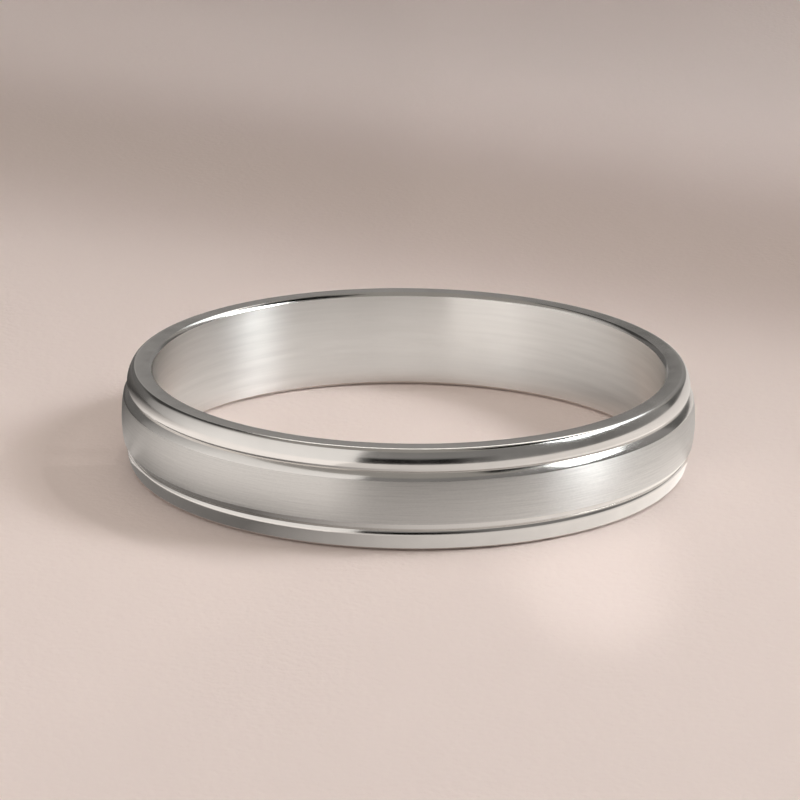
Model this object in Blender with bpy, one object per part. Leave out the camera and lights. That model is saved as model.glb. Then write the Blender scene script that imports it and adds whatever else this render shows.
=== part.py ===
"""Two-finish wedding band, turned from one piece of white metal.

The band stands on one flat end face, its axis along +Z and its origin in the
middle of that face. Its half section is drawn from the middle plane up to the
top face and back down the outside, mirrored, and spun round the axis.
"""
import math

import bmesh
import bpy
from mathutils import Vector

MM = 0.001

# Driving dimensions.
BAND_WIDTH = 4.0 * MM
BORE_DIAMETER = 20.04 * MM
OUTER_DIAMETER = 22.70 * MM

# Flat end faces and the small chamfer that leads from each into the bore.
FACE_INNER_RADIUS = 10.24 * MM
FACE_OUTER_RADIUS = 10.78 * MM
MOUTH_RADIAL = 0.13 * MM
MOUTH_AXIAL = 0.14 * MM
MOUTH_BULGE = 0.012 * MM

# Polished rails, one beside each end face, lower than the raised centre. An angle is how far
# the surface there still faces the end, above square to the axis.
CORNER_RADIUS = 0.225 * MM
CORNER_END_ANGLE = math.radians(30)
RAIL_FLANK_RADIUS = 1.22 * MM
RAIL_FLANK_END_ANGLE = math.radians(8.5)
RAIL_BULGE_RADIUS = 0.50 * MM
CREASE_FROM_END = 0.85 * MM
CREASE_DEPTH = 0.05 * MM
CREASE_HALF_WIDTH = 0.03 * MM

# Raised satin centre and the sloping shoulders that carry it.
CENTRE_EDGE_RADIUS = 11.275 * MM
CENTRE_EDGE_FROM_END = 1.15 * MM
SHOULDER_BULGE = 0.012 * MM

# Fineness of the turned surface.
SEGMENTS = 108
BORE_STEPS = 4
MOUTH_STEPS = 2
CORNER_STEPS = 4
FLANK_STEPS = 2
BULGE_STEPS = 4
SHOULDER_STEPS = 2
CROWN_STEPS = 3

HALF_WIDTH = BAND_WIDTH / 2
SHARP_ANGLE = math.radians(30)


def clear_scene():
    """Empty the scene of every object it starts with."""
    for obj in list(bpy.data.objects):
        bpy.data.objects.remove(obj, do_unlink=True)


def ellipse_arc(centre, radii, start, end, steps):
    """Points (radius, height) on an upright elliptical arc, both ends included."""
    points = []
    for step in range(steps + 1):
        angle = start + (end - start) * step / steps
        points.append((centre[0] + radii[0] * math.cos(angle), centre[1] + radii[1] * math.sin(angle)))
    return points


def arc_onward(point, start, end, radius, steps):
    """Points that carry on from one on an arc whose outward normal turns from start to end."""
    centre = (point[0] - radius * math.cos(start), point[1] - radius * math.sin(start))
    return ellipse_arc(centre, (radius, radius), start, end, steps)[1:]


def bulged_line(start, end, bulge, steps):
    """Points from start to end on a line that swells by the bulge, to the left of its run."""
    run = Vector(end) - Vector(start)
    sideways = Vector((-run.y, run.x)).normalized()
    points = []
    for step in range(steps + 1):
        along = step / steps
        point = Vector(start) + run * along + sideways * (4 * bulge * along * (1 - along))
        points.append((point.x, point.y))
    return points


def arc_radius(half_chord, sag):
    """Radius of the circle that rises by sag over half a chord."""
    return (half_chord ** 2 + sag ** 2) / (2 * sag)


def bore_points():
    """Gently domed bore: narrowest in the middle plane, opening a little towards the end."""
    top = HALF_WIDTH - MOUTH_AXIAL
    sag = FACE_INNER_RADIUS - MOUTH_RADIAL - BORE_DIAMETER / 2
    radius = arc_radius(top, sag)
    centre = (BORE_DIAMETER / 2 + radius, 0.0)
    return ellipse_arc(centre, (radius, radius), math.pi, math.pi - math.asin(top / radius), BORE_STEPS)


def mouth_points():
    """Slightly bulging chamfer from the bore to the flat end face."""
    foot = (FACE_INNER_RADIUS - MOUTH_RADIAL, HALF_WIDTH - MOUTH_AXIAL)
    return bulged_line(foot, (FACE_INNER_RADIUS, HALF_WIDTH), MOUTH_BULGE, MOUTH_STEPS)


def rail_points():
    """Rounded corner of the end face, the rail's flank, and its bulge in to the crease."""
    corner = (FACE_OUTER_RADIUS, HALF_WIDTH - CORNER_RADIUS)
    radii = (CORNER_RADIUS, CORNER_RADIUS)
    points = ellipse_arc(corner, radii, math.pi / 2, CORNER_END_ANGLE, CORNER_STEPS)
    points += arc_onward(points[-1], CORNER_END_ANGLE, RAIL_FLANK_END_ANGLE, RAIL_FLANK_RADIUS, FLANK_STEPS)
    crease_top = HALF_WIDTH - CREASE_FROM_END + CREASE_HALF_WIDTH
    fall = (points[-1][1] - crease_top) / RAIL_BULGE_RADIUS
    end = math.asin(math.sin(RAIL_FLANK_END_ANGLE) - fall)
    points += arc_onward(points[-1], RAIL_FLANK_END_ANGLE, end, RAIL_BULGE_RADIUS, BULGE_STEPS)
    return points


def shoulder_points(foot_radius):
    """Crease at the shoulder's foot and the slightly bulging slope up to the centre."""
    height = HALF_WIDTH - CREASE_FROM_END
    foot = (foot_radius + SHOULDER_BULGE, height - CREASE_HALF_WIDTH)
    top = (CENTRE_EDGE_RADIUS, HALF_WIDTH - CENTRE_EDGE_FROM_END)
    crease = (foot_radius - CREASE_DEPTH, height)
    return [crease] + bulged_line(foot, top, SHOULDER_BULGE, SHOULDER_STEPS)


def crown_points():
    """Raised centre, domed a little from its edge to the middle plane."""
    half_chord = HALF_WIDTH - CENTRE_EDGE_FROM_END
    radius = arc_radius(half_chord, OUTER_DIAMETER / 2 - CENTRE_EDGE_RADIUS)
    centre = (OUTER_DIAMETER / 2 - radius, 0.0)
    return ellipse_arc(centre, (radius, radius), math.asin(half_chord / radius), 0.0, CROWN_STEPS)[1:]


def band_section():
    """Whole closed section: the upper half, then its mirror image below the middle plane."""
    upper = bore_points()
    upper += mouth_points()[1:]
    upper += rail_points()
    upper += shoulder_points(upper[-1][0])
    upper += crown_points()
    lower = [(radius, -height) for radius, height in reversed(upper[1:-1])]
    return [(radius, height + HALF_WIDTH) for radius, height in upper + lower]


def spin_section(name, section):
    """Spin a closed section once round +Z into a closed mesh with its faces out."""
    shell = bmesh.new()
    loop = [shell.verts.new((radius, 0.0, height)) for radius, height in section]
    edges = [shell.edges.new((loop[index - 1], loop[index])) for index in range(len(loop))]
    bmesh.ops.spin(
        shell,
        geom=loop + edges,
        cent=(0.0, 0.0, 0.0),
        axis=(0.0, 0.0, 1.0),
        angle=math.tau,
        steps=SEGMENTS,
        use_merge=True,
    )
    bmesh.ops.recalc_face_normals(shell, faces=shell.faces)
    mesh = bpy.data.meshes.new(name)
    shell.to_mesh(mesh)
    shell.free()
    mesh.shade_smooth()
    mesh.set_sharp_from_angle(angle=SHARP_ANGLE)
    return mesh


def white_metal():
    """Polished white precious metal."""
    material = bpy.data.materials.new("white_metal")
    material.use_nodes = True
    shader = material.node_tree.nodes["Principled BSDF"]
    shader.inputs["Base Color"].default_value = (0.78, 0.77, 0.76, 1.0)
    shader.inputs["Metallic"].default_value = 1.0
    shader.inputs["Roughness"].default_value = 0.16
    return material


def make_band():
    """The one solid piece of the ring."""
    mesh = spin_section("band", band_section())
    mesh.materials.append(white_metal())
    band = bpy.data.objects.new("band", mesh)
    bpy.context.scene.collection.objects.link(band)
    return band


clear_scene()
make_band()
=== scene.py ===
import math

import bpy
from mathutils import Matrix, Vector


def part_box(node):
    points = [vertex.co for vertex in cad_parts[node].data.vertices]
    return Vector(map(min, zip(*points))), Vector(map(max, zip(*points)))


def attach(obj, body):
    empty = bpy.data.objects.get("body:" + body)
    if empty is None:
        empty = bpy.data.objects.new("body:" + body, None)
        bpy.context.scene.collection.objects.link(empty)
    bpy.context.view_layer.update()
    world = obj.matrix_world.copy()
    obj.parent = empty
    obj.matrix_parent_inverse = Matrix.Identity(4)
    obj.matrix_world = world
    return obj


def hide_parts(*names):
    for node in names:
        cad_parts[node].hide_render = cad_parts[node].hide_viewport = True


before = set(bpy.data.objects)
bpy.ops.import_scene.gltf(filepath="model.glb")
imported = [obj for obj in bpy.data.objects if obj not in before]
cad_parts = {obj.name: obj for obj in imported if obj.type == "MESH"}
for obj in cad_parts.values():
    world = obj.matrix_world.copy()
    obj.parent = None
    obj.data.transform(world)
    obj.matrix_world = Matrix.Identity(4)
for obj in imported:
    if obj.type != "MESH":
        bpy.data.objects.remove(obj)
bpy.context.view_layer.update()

MM = 0.001

# The band's box in the frame gives its outside radius and its width along the finger.
BAND_LOW, BAND_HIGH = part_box("band")
OUTER_RADIUS = BAND_HIGH[0]
WIDTH = BAND_HIGH[2] - BAND_LOW[2]
HALF_WIDTH = WIDTH / 2

# Section, as in the CAD: radii, and distances from the nearer end face. An angle is how far the
# surface there still faces the end, above square to the axis.
BORE_RADIUS = 10.02 * MM
MOUTH_RADIAL = 0.13 * MM
MOUTH_AXIAL = 0.14 * MM
MOUTH_BULGE = 0.012 * MM
FACE_INNER_RADIUS = 10.24 * MM
FACE_OUTER_RADIUS = 10.78 * MM
CORNER_RADIUS = 0.225 * MM
CORNER_END_ANGLE = math.radians(30)
RAIL_FLANK_RADIUS = 1.22 * MM
RAIL_FLANK_END_ANGLE = math.radians(8.5)
RAIL_BULGE_RADIUS = 0.50 * MM
CREASE_FROM_END = 0.85 * MM
CREASE_DEPTH = 0.05 * MM
CREASE_HALF_WIDTH = 0.03 * MM
CENTRE_EDGE_RADIUS = 11.275 * MM
CENTRE_EDGE_FROM_END = 1.15 * MM
SHOULDER_BULGE = 0.012 * MM

# Fineness of the turned surface.
SEGMENTS = 512
BORE_STEPS = 16
MOUTH_STEPS = 8
CORNER_STEPS = 20
FLANK_STEPS = 6
BULGE_STEPS = 12
SHOULDER_STEPS = 6
CROWN_STEPS = 12
SHARP_ANGLE = math.radians(20)

# Places of the three finishes among the piece's materials.
POLISHED, SATIN, BORE = range(3)

# White metal, a touch warm, as reflected at normal incidence.
METAL = (0.778, 0.764, 0.745)

# Colours of the studio's light: cards, key light, room light and light off the floor.
WARM = (1.0, 0.955, 0.91, 1.0)
COOL = (0.97, 1.0, 1.0, 1.0)
ROOM = (1.0, 0.935, 0.85, 1.0)
FLOOR_LIGHT = (1.0, 0.93, 0.875, 1.0)
ROOM_RADIANCE = 0.31
FLOOR_COLOUR = (0.90, 0.77, 0.725, 1)
FLAG_COLOUR = (0.3, 0.3, 0.3, 1)

# Floor: half its side, its drop below the ring's face, and the height of the light laid on it.
FLOOR_REACH = 0.6
FLOOR_DROP = 0.01 * MM
BOUNCE_HEIGHT = 0.002 * MM

# Radii on the floor between which its light in the ring's reflections differs.
HOLE_MIDDLE = 0.1 * MM
HOLE_SHADE = 5.5 * MM
HOLE_EDGE = 9.4 * MM
FOOT = 11.0 * MM
LEFT_FOOT = 11.6 * MM
BACK_FOOT = 13 * MM
CLOSE = 14.5 * MM

# Camera: its angle above the floor, its turn about its own axis, its distance from the middle of
# the top face, and how far below and to the left of that middle it aims.
CAMERA_ELEVATION = math.radians(16.97)
CAMERA_ROLL = math.radians(0.60)
CAMERA_DISTANCE = 179 * MM
AIM_BELOW = 1.44 * MM
AIM_LEFT = 0.335 * MM
LENS_MM = 203.8
SENSOR_MM = 36

# Sockets of a Mix node that mixes colours.
MIX_FACTOR, MIX_FIRST, MIX_SECOND = 0, 6, 7
MIX_RESULT = 2


def ellipse_arc(centre, radii, start, end, steps):
    """Points (radius, height) on an upright elliptical arc, both ends included."""
    points = []
    for step in range(steps + 1):
        angle = start + (end - start) * step / steps
        points.append((centre[0] + radii[0] * math.cos(angle), centre[1] + radii[1] * math.sin(angle)))
    return points


def arc_onward(point, start, end, radius, steps):
    """Points that carry on from one on an arc whose outward normal turns from start to end."""
    centre = (point[0] - radius * math.cos(start), point[1] - radius * math.sin(start))
    return ellipse_arc(centre, (radius, radius), start, end, steps)[1:]


def bulged_line(start, end, bulge, steps):
    """Points from start to end on a line that swells by the bulge, to the left of its run."""
    start, end = Vector(start), Vector(end)
    sideways = Vector((start.y - end.y, end.x - start.x)).normalized()
    points = []
    for step in range(steps + 1):
        along = step / steps
        point = start.lerp(end, along) + sideways * (4 * bulge * along * (1 - along))
        points.append((point.x, point.y))
    return points


def arc_radius(half_chord, sag):
    """Radius of the circle that rises by sag over half a chord."""
    return (half_chord ** 2 + sag ** 2) / (2 * sag)


def bore_points():
    """Gently domed bore: narrowest in the middle plane, opening a little towards the end."""
    top = HALF_WIDTH - MOUTH_AXIAL
    radius = arc_radius(top, FACE_INNER_RADIUS - MOUTH_RADIAL - BORE_RADIUS)
    turn = math.asin(top / radius)
    centre = (BORE_RADIUS + radius, 0.0)
    return ellipse_arc(centre, (radius, radius), math.pi, math.pi - turn, BORE_STEPS)


def mouth_points():
    """Slightly bulging chamfer from the bore to the flat end face."""
    foot = (FACE_INNER_RADIUS - MOUTH_RADIAL, HALF_WIDTH - MOUTH_AXIAL)
    return bulged_line(foot, (FACE_INNER_RADIUS, HALF_WIDTH), MOUTH_BULGE, MOUTH_STEPS)


def rail_points():
    """Rounded corner of the end face, the rail's flank, and its bulge in to the crease."""
    corner = (FACE_OUTER_RADIUS, HALF_WIDTH - CORNER_RADIUS)
    radii = (CORNER_RADIUS, CORNER_RADIUS)
    points = ellipse_arc(corner, radii, math.pi / 2, CORNER_END_ANGLE, CORNER_STEPS)
    points += arc_onward(points[-1], CORNER_END_ANGLE, RAIL_FLANK_END_ANGLE, RAIL_FLANK_RADIUS, FLANK_STEPS)
    crease_top = HALF_WIDTH - CREASE_FROM_END + CREASE_HALF_WIDTH
    fall = (points[-1][1] - crease_top) / RAIL_BULGE_RADIUS
    end = math.asin(math.sin(RAIL_FLANK_END_ANGLE) - fall)
    points += arc_onward(points[-1], RAIL_FLANK_END_ANGLE, end, RAIL_BULGE_RADIUS, BULGE_STEPS)
    return points


def shoulder_points(foot_radius):
    """Crease at the shoulder's foot and the slightly bulging slope up to the centre."""
    height = HALF_WIDTH - CREASE_FROM_END
    foot = (foot_radius + SHOULDER_BULGE, height - CREASE_HALF_WIDTH)
    top = (CENTRE_EDGE_RADIUS, HALF_WIDTH - CENTRE_EDGE_FROM_END)
    crease = (foot_radius - CREASE_DEPTH, height)
    return [crease] + bulged_line(foot, top, SHOULDER_BULGE, SHOULDER_STEPS)


def crown_points():
    """Raised centre, domed a little from its edge to the middle plane."""
    half_chord = HALF_WIDTH - CENTRE_EDGE_FROM_END
    radius = arc_radius(half_chord, OUTER_RADIUS - CENTRE_EDGE_RADIUS)
    turn = math.asin(half_chord / radius)
    return ellipse_arc((OUTER_RADIUS - radius, 0.0), (radius, radius), turn, 0.0, CROWN_STEPS)[1:]


def band_section():
    """Whole closed section: the upper half, then its mirror image below the middle plane."""
    upper = bore_points()
    upper += mouth_points()[1:]
    upper += rail_points()
    upper += shoulder_points(upper[-1][0])
    upper += crown_points()
    lower = [(radius, -height) for radius, height in reversed(upper[1:-1])]
    return [(radius, height + HALF_WIDTH) for radius, height in upper + lower]


def turned_mesh(name, section):
    """Closed mesh made by turning a closed section once round +Z."""
    vertices = []
    for turn in range(SEGMENTS):
        angle = math.tau * turn / SEGMENTS
        cosine, sine = math.cos(angle), math.sin(angle)
        vertices += [(radius * cosine, radius * sine, height) for radius, height in section]
    count = len(section)
    faces = []
    for turn in range(SEGMENTS):
        here = turn * count
        there = (turn + 1) % SEGMENTS * count
        for index in range(count):
            after = (index + 1) % count
            faces.append((here + index, here + after, there + after, there + index))
    mesh = bpy.data.meshes.new(name)
    mesh.from_pydata(vertices, [], faces)
    mesh.shade_smooth()
    mesh.set_sharp_from_angle(angle=SHARP_ANGLE)
    return mesh


class Nodes:
    """Small helper round one material's node tree."""

    def __init__(self, name):
        self.material = bpy.data.materials.new(name)
        self.material.use_nodes = True
        self.tree = self.material.node_tree
        self.shader = self.tree.nodes["Principled BSDF"]

    def add(self, kind, **values):
        """New node of a kind, with the given properties."""
        node = self.tree.nodes.new(kind)
        for key, value in values.items():
            setattr(node, key, value)
        return node

    def link(self, source, target):
        """Join an output socket to an input socket."""
        self.tree.links.new(source, target)

    def coordinates(self, scale):
        """Object coordinates stretched by the three scales, in cycles a metre."""
        place = self.add("ShaderNodeTexCoord")
        mapping = self.add("ShaderNodeMapping")
        mapping.inputs["Scale"].default_value = scale
        self.link(place.outputs["Object"], mapping.inputs["Vector"])
        return mapping.outputs["Vector"]

    def noise(self, scale, detail=2.0, roughness=0.5):
        """Noise from 0 to 1 whose grain is one over each of the three scales."""
        noise = self.add("ShaderNodeTexNoise")
        noise.inputs["Scale"].default_value = 1.0
        noise.inputs["Detail"].default_value = detail
        noise.inputs["Roughness"].default_value = roughness
        self.link(self.coordinates(scale), noise.inputs["Vector"])
        return noise.outputs["Fac"]

    def spread(self, value, low, high, start=0.3, end=0.7):
        """The value, which runs from start to end, moved to run from low to high."""
        spread = self.add("ShaderNodeMapRange")
        spread.inputs["From Min"].default_value = start
        spread.inputs["From Max"].default_value = end
        spread.inputs["To Min"].default_value = low
        spread.inputs["To Max"].default_value = high
        self.link(value, spread.inputs["Value"])
        return spread.outputs["Result"]

    def weighted(self, first, second, share):
        """Sum of two values, the first with the given share and the second with the rest."""
        rest = self.add("ShaderNodeMath", operation="MULTIPLY")
        self.link(second, rest.inputs[0])
        rest.inputs[1].default_value = 1.0 - share
        total = self.add("ShaderNodeMath", operation="MULTIPLY_ADD")
        self.link(first, total.inputs[0])
        total.inputs[1].default_value = share
        self.link(rest.outputs["Value"], total.inputs[2])
        return total.outputs["Value"]

    def bump(self, height, distance, normal=None):
        """Relief of the given depth in metres, over an earlier normal if there is one."""
        bump = self.add("ShaderNodeBump")
        bump.inputs["Strength"].default_value = 1.0
        bump.inputs["Distance"].default_value = distance
        self.link(height, bump.inputs["Height"])
        if normal is not None:
            self.link(normal, bump.inputs["Normal"])
        return bump.outputs["Normal"]

    def shade(self, low, high, grain):
        """Base colour that varies between two brightnesses of the metal with the grain."""
        mix = self.add("ShaderNodeMix", data_type="RGBA")
        for socket, brightness in ((MIX_FIRST, low), (MIX_SECOND, high)):
            colour = [channel * brightness for channel in METAL]
            mix.inputs[socket].default_value = (*colour, 1.0)
        self.link(self.spread(grain, 0.0, 1.0), mix.inputs[MIX_FACTOR])
        self.link(mix.outputs[MIX_RESULT], self.shader.inputs["Base Color"])

    def brushed_round(self, amount):
        """Grain that runs round the ring, so that highlights stretch across it."""
        self.shader.inputs["Anisotropic"].default_value = amount
        self.shader.inputs["Anisotropic Rotation"].default_value = 0.25
        tangent = self.add("ShaderNodeTangent", direction_type="RADIAL", axis="Z")
        self.link(tangent.outputs["Tangent"], self.shader.inputs["Tangent"])


def polished_metal():
    """Mirror polish with a faint buffing haze and hairlines round the ring."""
    nodes = Nodes("polished")
    nodes.shader.inputs["Metallic"].default_value = 1.0
    haze = nodes.noise((900, 900, 900), detail=3.0)
    nodes.shade(0.97, 1.03, haze)
    nodes.link(nodes.spread(haze, 0.12, 0.18), nodes.shader.inputs["Roughness"])
    hairlines = nodes.noise((700, 700, 22000))
    ripple = nodes.bump(nodes.noise((600, 600, 900)), 0.6e-6)
    nodes.link(nodes.bump(hairlines, 0.05e-6, ripple), nodes.shader.inputs["Normal"])
    return nodes.material


def satin_metal():
    """Fine satin brushing that runs round the ring in short overlapping strokes."""
    nodes = Nodes("satin")
    nodes.shader.inputs["Metallic"].default_value = 1.0
    strokes = nodes.noise((500, 500, 20000), detail=4.0, roughness=0.65)
    speckle = nodes.noise((9000, 9000, 16000))
    grain = nodes.weighted(strokes, speckle, 0.75)
    nodes.shade(0.84, 1.06, grain)
    nodes.link(nodes.spread(grain, 0.36, 0.46), nodes.shader.inputs["Roughness"])
    nodes.link(nodes.bump(grain, 1.6e-6), nodes.shader.inputs["Normal"])
    nodes.brushed_round(0.9)
    return nodes.material


def bore_metal():
    """Soft polish inside, with a faint orange peel and a grain round the ring; its metal colour is painted
    lighter than outside, as painted light on the inside.
    """
    nodes = Nodes("bore_polish")
    nodes.shader.inputs["Metallic"].default_value = 1.0
    peel = nodes.noise((9000, 9000, 5000), detail=1.0)
    lines = nodes.noise((250, 250, 5000), detail=3.0)
    # Painted light: the bore's metal colour is set lighter than the outside's, so the inside looks more
    # brightly lit.
    nodes.shade(1.08, 1.18, lines)
    nodes.link(nodes.spread(lines, 0.30, 0.37), nodes.shader.inputs["Roughness"])
    nodes.link(nodes.bump(peel, 0.1e-6), nodes.shader.inputs["Normal"])
    nodes.brushed_round(0.94)
    return nodes.material


def make_band():
    """The one solid piece of the ring, with a finish for each of its zones."""
    mesh = turned_mesh("wedding_band", band_section())
    for material in (polished_metal(), satin_metal(), bore_metal()):
        mesh.materials.append(material)
    satin_from = CENTRE_EDGE_RADIUS * 0.9999
    bore_to = (FACE_INNER_RADIUS - MOUTH_RADIAL) * 1.00005
    for face in mesh.polygons:
        radius = face.center.xy.length
        if radius > satin_from:
            face.material_index = SATIN
        elif radius < bore_to:
            face.material_index = BORE
        else:
            face.material_index = POLISHED
    band = bpy.data.objects.new("wedding_band", mesh)
    bpy.context.scene.collection.objects.link(band)
    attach(band, "root")
    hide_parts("band")


def stage_object(name, mesh, material):
    """A light or backdrop for the studio, left out of the part itself."""
    mesh.materials.append(material)
    obj = bpy.data.objects.new(name, mesh)
    bpy.context.scene.collection.objects.link(obj)
    return obj


def glow(name, colour):
    """Emission of one colour, as strong as the mesh's own radiance attribute says."""
    material = bpy.data.materials.new(name)
    material.use_nodes = True
    tree = material.node_tree
    tree.nodes.clear()
    radiance = tree.nodes.new("ShaderNodeAttribute")
    radiance.attribute_name = "radiance"
    emission = tree.nodes.new("ShaderNodeEmission")
    output = tree.nodes.new("ShaderNodeOutputMaterial")
    emission.inputs["Color"].default_value = colour
    tree.links.new(radiance.outputs["Fac"], emission.inputs["Strength"])
    tree.links.new(emission.outputs["Emission"], output.inputs["Surface"])
    return material


def glowing_object(name, vertices, faces, radiances, colour):
    """Light that the camera doesn't see, with a radiance for each of its vertices."""
    mesh = bpy.data.meshes.new(name)
    mesh.from_pydata(vertices, [], faces)
    attribute = mesh.attributes.new("radiance", "FLOAT", "POINT")
    attribute.data.foreach_set("value", radiances)
    obj = stage_object(name, mesh, glow(name, colour))
    obj.visible_camera = False
    return obj


def between(ends, along):
    """Value part of the way from the first of two ends to the second."""
    return ends[0] + (ends[1] - ends[0]) * along


def place_round(azimuth, distance, height):
    """Point round the ring. Azimuth 0 is towards the camera and 90 to its right, in degrees."""
    turn = math.radians(azimuth)
    return (distance * math.sin(turn), -distance * math.cos(turn), height)


def wall(name, azimuths, elevations, distance, low, high=None, colour=WARM):
    """Curved upright card round the ring, from one azimuth and elevation to another in degrees.

    Low and high are the radiances at the two ends of its lower and of its upper edge, which are
    alike where only low is given.
    """
    columns = 24
    heights = [HALF_WIDTH + distance * math.tan(math.radians(elevation)) for elevation in elevations]
    vertices = []
    radiances = []
    for column in range(columns + 1):
        along = column / columns
        for height, ends in zip(heights, (low, high or low)):
            vertices.append(place_round(between(azimuths, along), distance, height))
            radiances.append(between(ends, along))
    faces = [(2 * c, 2 * c + 2, 2 * c + 3, 2 * c + 1) for c in range(columns)]
    return glowing_object(name, vertices, faces, radiances, colour)


def bounce(name, azimuths, inner, outer, radiances):
    """Sector of light off the floor round the ring, which only the metal's reflections see."""
    columns = 48
    vertices = []
    values = []
    for column in range(columns + 1):
        along = column / columns
        for radius in (inner, outer):
            vertices.append(place_round(between(azimuths, along), radius, BOUNCE_HEIGHT))
            values.append(between(radiances, along))
    faces = [(2 * c, 2 * c + 1, 2 * c + 3, 2 * c + 2) for c in range(columns)]
    sector = glowing_object(name, vertices, faces, values, FLOOR_LIGHT)
    sector.visible_diffuse = False
    sector.visible_shadow = False


def make_floor():
    """Pale matt floor with a fine grain."""
    mesh = bpy.data.meshes.new("floor")
    reach = FLOOR_REACH
    corners = [(-reach, -reach, 0), (reach, -reach, 0), (reach, reach, 0), (-reach, reach, 0)]
    mesh.from_pydata(corners, [], [(0, 1, 2, 3)])
    nodes = Nodes("floor")
    nodes.shader.inputs["Base Color"].default_value = FLOOR_COLOUR
    nodes.shader.inputs["Roughness"].default_value = 0.7
    nodes.shader.inputs["Specular IOR Level"].default_value = 0.3
    grain = nodes.noise((3500, 3500, 3500), detail=3.0)
    nodes.link(nodes.bump(grain, 40e-6), nodes.shader.inputs["Normal"])
    floor = stage_object("floor", mesh, nodes.material)
    floor.location.z = -FLOOR_DROP


def make_fill(height, radius, radiance):
    """Round overhead light for the matt surfaces round the ring."""
    count = 48
    turns = [math.tau * index / count for index in range(count)]
    vertices = [(radius * math.cos(turn), radius * math.sin(turn), height) for turn in turns]
    face = tuple(reversed(range(count)))
    fill = glowing_object("fill", vertices, [face], [radiance] * count, ROOM)
    fill.visible_glossy = False
    fill.visible_shadow = False


def make_glint():
    """Soft pool of light that the ring throws on the floor in front of it."""
    data = bpy.data.lights.new("glint", "SPOT")
    data.energy = 0.0065
    data.spot_size = math.radians(34)
    data.spot_blend = 1.0
    data.shadow_soft_size = 0.4 * MM
    glint = bpy.data.objects.new("glint", data)
    bpy.context.scene.collection.objects.link(glint)
    glint.location = (7.0 * MM, -28 * MM, 30 * MM)
    glint.rotation_euler.x = math.radians(26)
    glint.scale.x = 0.4
    glint.visible_glossy = False


def make_flag(name, middle, size, turn):
    """Flag that keeps the key light off a strip of the floor behind the ring."""
    mesh = bpy.data.meshes.new(name)
    along, across = size[0] / 2, size[1] / 2
    corners = [(-along, -across, 0.0), (along, -across, 0.0), (along, across, 0.0), (-along, across, 0.0)]
    mesh.from_pydata(corners, [], [(0, 1, 2, 3)])
    nodes = Nodes(name)
    nodes.shader.inputs["Base Color"].default_value = FLAG_COLOUR
    flag = stage_object(name, mesh, nodes.material)
    flag.location = middle
    flag.rotation_euler.z = math.radians(turn)
    flag.visible_camera = False
    flag.visible_glossy = False


def make_cards():
    """White, grey and black cards, placed round the ring as its reflections show them."""
    wall("white_far", (-128, -85), (0, 46), 0.30, (0.24, 0.98), (0.20, 0.72))
    wall("white_left", (-85, -19.4), (0, 46), 0.30, (0.98, 0.95), (0.72, 0.92))
    wall("black_front", (-19.4, 17), (-0.5, 18), 0.22, (0.0, 0.0))
    wall("black_fade", (17, 40), (-0.5, 18), 0.22, (0.0, 0.25))
    wall("grey_front", (-19.4, 78), (0, 42), 0.31, (0.30, 0.16), (0.20, 0.20))
    wall("grey_right", (78, 127), (0, 30), 0.31, (0.14, 0.28), (0.16, 0.28))
    wall("dark_right", (127, 150), (-1, 20), 0.30, (0.08, 0.14), (0.10, 0.16))
    wall("dark_left", (-165, -128), (-1, 24), 0.31, (0.12, 0.12), (0.14, 0.16))
    wall("dark_left_top", (-165, -120), (24, 62), 0.305, (0.05, 0.05))


def make_lights():
    """The key light, once for matt surfaces and once for reflections, and what lies round it.

    The copy that shows in reflections stands a few degrees nearer the camera's side than the one
    that lights the floor: the photo's highlights and its shadow ask for both.
    """
    sun = wall("sun", (84, 100), (32, 41), 0.282, (27.0, 27.0), colour=COOL)
    sun_edge = wall("sun_edge", (76, 108), (26, 47), 0.283, (7.5, 7.5), colour=COOL)
    key = wall("key", (76, 90), (32, 41), 0.28, (30.0, 30.0), colour=COOL)
    key_edge = wall("key_edge", (69, 98), (27, 46), 0.281, (3.0, 8.0), colour=COOL)
    key_tail = wall("key_tail", (98, 150), (34, 48), 0.29, (4.0, 1.0), colour=COOL)
    wall("black_above", (40, 112), (48, 72), 0.20, (0.0, 0.0))
    back_top = wall("back_top", (130, 204), (48, 58), 0.26, (2.6, 2.6))
    wall("grey_back", (150, 225), (0, 38), 0.32, (0.24, 0.38), (0.26, 0.40))
    wall("end_right", (174, 180), (15, 19), 0.30, (0.06, 0.24), (0.14, 0.32))
    wall("end_left", (180, 186), (15, 19), 0.30, (0.24, 0.18), (0.32, 0.19))
    for light in (sun, sun_edge):
        light.visible_glossy = False
    for light in (key, key_edge, key_tail, back_top):
        light.visible_diffuse = False


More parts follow.
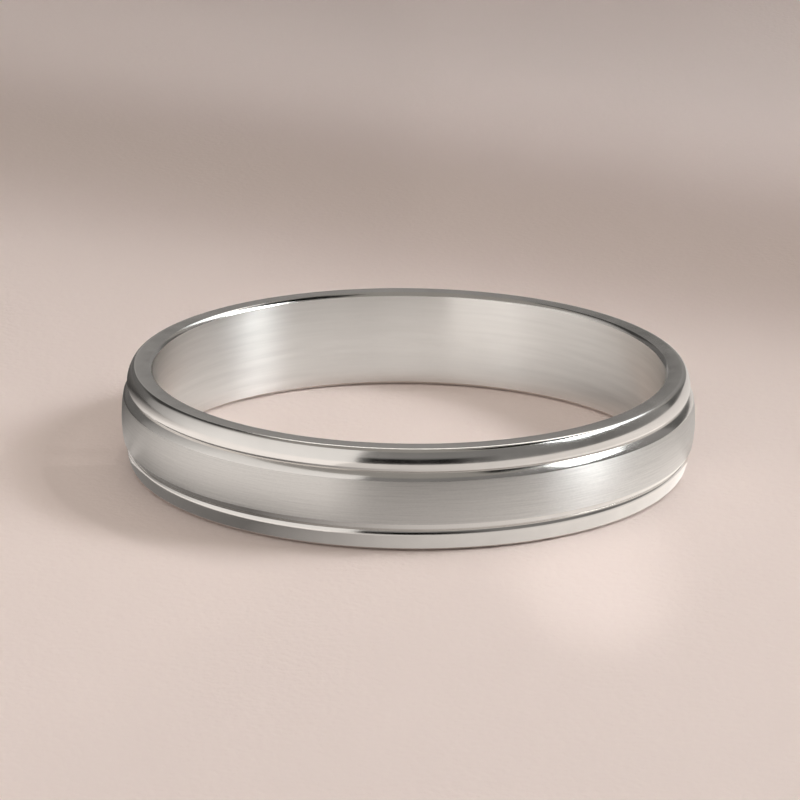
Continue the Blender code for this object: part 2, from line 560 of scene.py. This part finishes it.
def make_bounces():
    """Light off the floor, as bright round the ring and in its hole as reflections show it."""
    bounce("bounce_left", (-180, -125), LEFT_FOOT, FLOOR_REACH, (0.30, 0.05))
    bounce("bounce_near_left", (-125, -85), LEFT_FOOT, FLOOR_REACH, (0.05, 1.04))
    bounce("bounce_front", (-85, -19.4), CLOSE, FLOOR_REACH, (1.04, 1.12))
    bounce("bounce_middle", (-19.4, 0), CLOSE, FLOOR_REACH, (0.76, 0.68))
    bounce("bounce_right", (0, 90), CLOSE, FLOOR_REACH, (0.68, 0.95))
    # Painted shadow: the close sectors are dim on the left, where the ring's own shadow lies on the floor
    # by its foot.
    bounce("bounce_close_left", (-95, -35), FOOT, CLOSE, (0.26, 0.17))
    bounce("bounce_close", (-35, 0), FOOT, CLOSE, (0.17, 0.60))
    bounce("bounce_close_right", (0, 90), FOOT, CLOSE, (0.60, 1.30))
    bounce("bounce_back", (90, 180), BACK_FOOT, FLOOR_REACH, (0.92, 0.55))
    bounce("bounce_inside", (-180, 180), HOLE_MIDDLE, HOLE_SHADE, (1.12, 1.12))
    bounce("bounce_inside_left", (180, 380), HOLE_SHADE, HOLE_EDGE, (0.74, 0.85))
    # Painted shadow: the ring's right wall shades the floor inside the hole, and this shade fades out
    # towards the left.
    bounce("bounce_inside_shade", (20, 132), HOLE_SHADE, HOLE_EDGE, (0.40, 0.12))
    bounce("bounce_inside_edge", (132, 180), HOLE_SHADE, HOLE_EDGE, (0.12, 0.74))


def make_world():
    """Dim warm room light from everywhere."""
    world = bpy.data.worlds.new("studio")
    world.use_nodes = True
    background = world.node_tree.nodes["Background"]
    background.inputs["Color"].default_value = ROOM
    background.inputs["Strength"].default_value = ROOM_RADIANCE
    bpy.context.scene.world = world


def make_camera():
    """Long lens at the photo's angle, aimed a little below the middle of the top face."""
    target = Vector((0, 0, WIDTH))
    back = Vector((0, -math.cos(CAMERA_ELEVATION), math.sin(CAMERA_ELEVATION)))
    up = Vector((0, math.sin(CAMERA_ELEVATION), math.cos(CAMERA_ELEVATION)))
    right = Vector((1, 0, 0))
    place = target + back * CAMERA_DISTANCE
    aim = target - up * AIM_BELOW - right * AIM_LEFT
    forward = (aim - place).normalized()
    side = forward.cross(Vector((0, 0, 1))).normalized()
    top = side.cross(forward)
    x = side * math.cos(CAMERA_ROLL) + top * math.sin(CAMERA_ROLL)
    y = top * math.cos(CAMERA_ROLL) - side * math.sin(CAMERA_ROLL)
    data = bpy.data.cameras.new("camera")
    data.lens = LENS_MM
    data.sensor_width = SENSOR_MM
    data.clip_start = 0.001
    camera = bpy.data.objects.new("camera", data)
    bpy.context.scene.collection.objects.link(camera)
    matrix = Matrix((x, y, -forward)).transposed().to_4x4()
    matrix.translation = place
    camera.matrix_world = matrix
    bpy.context.scene.camera = camera


make_camera()
make_world()
make_floor()
make_cards()
make_lights()
make_bounces()
make_fill(100 * MM, 56 * MM, 1.1)
make_glint()
make_flag("flag", (0.0395, 0.0365, 0.030), (0.110, 0.021), -30)
make_flag("far_flag", (0.080, 0.100, 0.060), (0.150, 0.060), 0)
make_band()
bpy.context.scene.view_settings.view_transform = "Standard"
